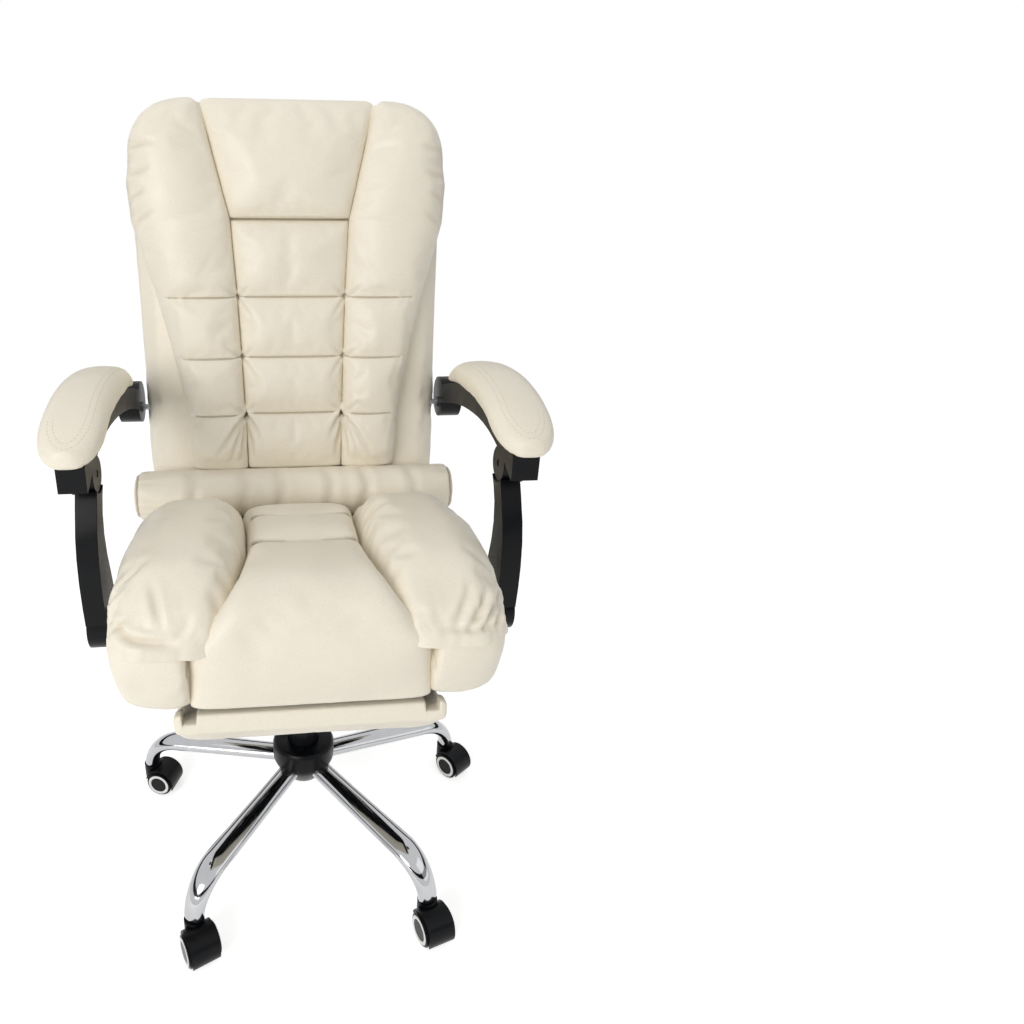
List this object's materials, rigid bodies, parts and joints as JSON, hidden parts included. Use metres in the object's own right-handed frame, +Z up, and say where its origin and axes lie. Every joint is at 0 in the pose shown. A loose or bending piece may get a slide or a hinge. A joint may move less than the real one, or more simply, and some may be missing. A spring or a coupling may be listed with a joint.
{
  "type": "reclining office chair with footrest",
  "caption": "High-back reclining office chair in cream leather with a pull-out footrest, linked armrests and a chromed swivel base on casters.",
  "frame": {"origin": "floor level under the centre of the chair's bounding box, at rest", "axes": "+Z up, -Y the way the sitter faces, +X towards the sitter's left hand side of a viewer facing the chair"},
  "size_m": [0.662, 0.6734, 1.2],
  "materials": {
    "cream_leather": "satin",
    "black_plastic": "satin",
    "black_steel": "satin",
    "chrome": "polished",
    "steel": "zinc plated",
    "plywood": "raw",
    "white_trim": "gloss"
  },
  "bodies": {
    "base": {"star_base": "chrome", "hub_cover": "black_plastic", "gas_cylinder": "black_steel"},
    "lift": {"piston_rod": "chrome"},
    "seat": {"seat_plate": "black_steel", "plate_bolts": "steel", "seat_board": "plywood", "seat_cushion": "cream_leather", "seat_pillow_left": "cream_leather", "seat_pillow_right": "cream_leather", "seat_pad": "cream_leather", "footrest_rails": "black_plastic", "hinge_brackets": "steel", "hinge_pins": "steel", "arm_bolts": "steel"},
    "height_lever": {"height_lever": "steel", "height_grip": "black_plastic"},
    "recline_lever": {"recline_lever": "black_plastic"},
    "back": {"back_board": "plywood", "back_hinge_plates": "steel", "back_shell": "cream_leather", "headrest": "cream_leather", "back_panel": "cream_leather", "back_side_left": "cream_leather", "back_side_right": "cream_leather", "lumbar_roll": "cream_leather", "back_bolts": "steel"},
    "post_left": {"arm_post_left": "black_plastic", "post_pin_left": "black_plastic"},
    "post_right": {"arm_post_right": "black_plastic", "post_pin_right": "black_plastic"},
    "arm_left": {"arm_frame_left": "black_plastic", "arm_pad_left": "cream_leather"},
    "arm_right": {"arm_frame_right": "black_plastic", "arm_pad_right": "cream_leather"},
    "footrest_slide": {"footrest_rod": "chrome"},
    "footrest": {"footrest_clips": "black_plastic", "footrest_board": "plywood", "footrest_pad": "cream_leather"},
    "caster_1": {"caster_hood_1": "black_plastic", "caster_pins_1": "steel"},
    "wheels_1": {"caster_wheels_1": "black_plastic", "caster_rings_1": "white_trim"},
    "caster_2": {"caster_hood_2": "black_plastic", "caster_pins_2": "steel"},
    "wheels_2": {"caster_wheels_2": "black_plastic", "caster_rings_2": "white_trim"},
    "caster_3": {"caster_hood_3": "black_plastic", "caster_pins_3": "steel"},
    "wheels_3": {"caster_wheels_3": "black_plastic", "caster_rings_3": "white_trim"},
    "caster_4": {"caster_hood_4": "black_plastic", "caster_pins_4": "steel"},
    "wheels_4": {"caster_wheels_4": "black_plastic", "caster_rings_4": "white_trim"},
    "caster_5": {"caster_hood_5": "black_plastic", "caster_pins_5": "steel"},
    "wheels_5": {"caster_wheels_5": "black_plastic", "caster_rings_5": "white_trim"}
  },
  "joints": [
    {"name": "lift", "type": "slide", "parent": "base", "child": "lift", "axis": [0, 0, 1], "range_m": [-0.09, 0], "stiffness_N_per_m": 500, "springref_m": 0.7},
    {"name": "swivel", "type": "hinge", "parent": "lift", "child": "seat", "pos_m": [0, -0.014, 0.4], "axis": [0, 0, 1], "continuous": true},
    {"name": "recline", "type": "hinge", "parent": "seat", "child": "back", "pos_m": [0, 0.216, 0.502], "axis": [-1, 0, 0], "range_deg": [0, 45]},
    {"name": "post_left", "type": "hinge", "parent": "seat", "child": "post_left", "pos_m": [-0.28, -0.152, 0.505], "axis": [-1, 0, 0], "range_deg": [0, 45]},
    {"name": "arm_left", "type": "hinge", "parent": "post_left", "child": "arm_left", "pos_m": [-0.285, -0.129, 0.703], "axis": [-1, 0, 0], "range_deg": [-45, 0]},
    {"name": "post_right", "type": "hinge", "parent": "seat", "child": "post_right", "pos_m": [0.28, -0.152, 0.505], "axis": [-1, 0, 0], "range_deg": [0, 45]},
    {"name": "arm_right", "type": "hinge", "parent": "post_right", "child": "arm_right", "pos_m": [0.285, -0.129, 0.703], "axis": [-1, 0, 0], "range_deg": [-45, 0]},
    {"name": "footrest_slide", "type": "slide", "parent": "seat", "child": "footrest_slide", "axis": [0, -0.9945, 0.1045], "range_m": [0, 0.306]},
    {"name": "footrest_flip", "type": "hinge", "parent": "footrest_slide", "child": "footrest", "pos_m": [0, -0.23066, 0.44043], "axis": [-1, 0, 0], "range_deg": [0, 180]},
    {"name": "height_lever", "type": "hinge", "parent": "seat", "child": "height_lever", "pos_m": [-0.054, 0.056, 0.386], "axis": [0, 1, 0], "range_deg": [0, 8], "stiffness_Nm_per_rad": 1, "springref_deg": -5.73},
    {"name": "recline_lever", "type": "hinge", "parent": "seat", "child": "recline_lever", "pos_m": [0.2135, 0.184, 0.484], "axis": [-1, 0, 0], "range_deg": [0, 15], "stiffness_Nm_per_rad": 0.3, "springref_deg": -5.73},
    {"name": "caster_swivel_1", "type": "hinge", "parent": "base", "child": "caster_1", "pos_m": [0, 0.282, 0.04], "axis": [0, 0, 1], "continuous": true},
    {"name": "wheel_1", "type": "hinge", "parent": "caster_1", "child": "wheels_1", "pos_m": [0.011, 0.26295, 0.024], "axis": [-0.866, -0.5, 0], "continuous": true},
    {"name": "caster_swivel_2", "type": "hinge", "parent": "base", "child": "caster_2", "pos_m": [-0.28151, 0.07747, 0.04], "axis": [0, 0, 1], "continuous": true},
    {"name": "wheel_2", "type": "hinge", "parent": "caster_2", "child": "wheels_2", "pos_m": [-0.26084, 0.06994, 0.024], "axis": [-0.342, -0.9397, 0], "continuous": true},
    {"name": "caster_swivel_3", "type": "hinge", "parent": "base", "child": "caster_3", "pos_m": [-0.17398, -0.25347, 0.04], "axis": [0, 0, 1], "continuous": true},
    {"name": "wheel_3", "type": "hinge", "parent": "caster_3", "child": "wheels_3", "pos_m": [-0.16469, -0.27341, 0.024], "axis": [-0.9063, -0.4226, 0], "continuous": true},
    {"name": "caster_swivel_4", "type": "hinge", "parent": "base", "child": "caster_4", "pos_m": [0.17398, -0.25347, 0.04], "axis": [0, 0, 1], "continuous": true},
    {"name": "wheel_4", "type": "hinge", "parent": "caster_4", "child": "wheels_4", "pos_m": [0.18042, -0.27451, 0.024], "axis": [-0.9563, -0.2924, 0], "continuous": true},
    {"name": "caster_swivel_5", "type": "hinge", "parent": "base", "child": "caster_5", "pos_m": [0.28151, 0.07747, 0.04], "axis": [0, 0, 1], "continuous": true},
    {"name": "wheel_5", "type": "hinge", "parent": "caster_5", "child": "wheels_5", "pos_m": [0.29475, 0.0599, 0.024], "axis": [-0.7986, -0.6018, 0], "continuous": true}
  ],
  "couplings": [
    {"joint": "post_left", "follows": "recline", "ratio": 1},
    {"joint": "arm_left", "follows": "recline", "ratio": -1},
    {"joint": "post_right", "follows": "recline", "ratio": 1},
    {"joint": "arm_right", "follows": "recline", "ratio": -1},
    {"joint": "footrest_flip", "follows": "footrest_slide", "rad_per_m": 10.267}
  ]
}
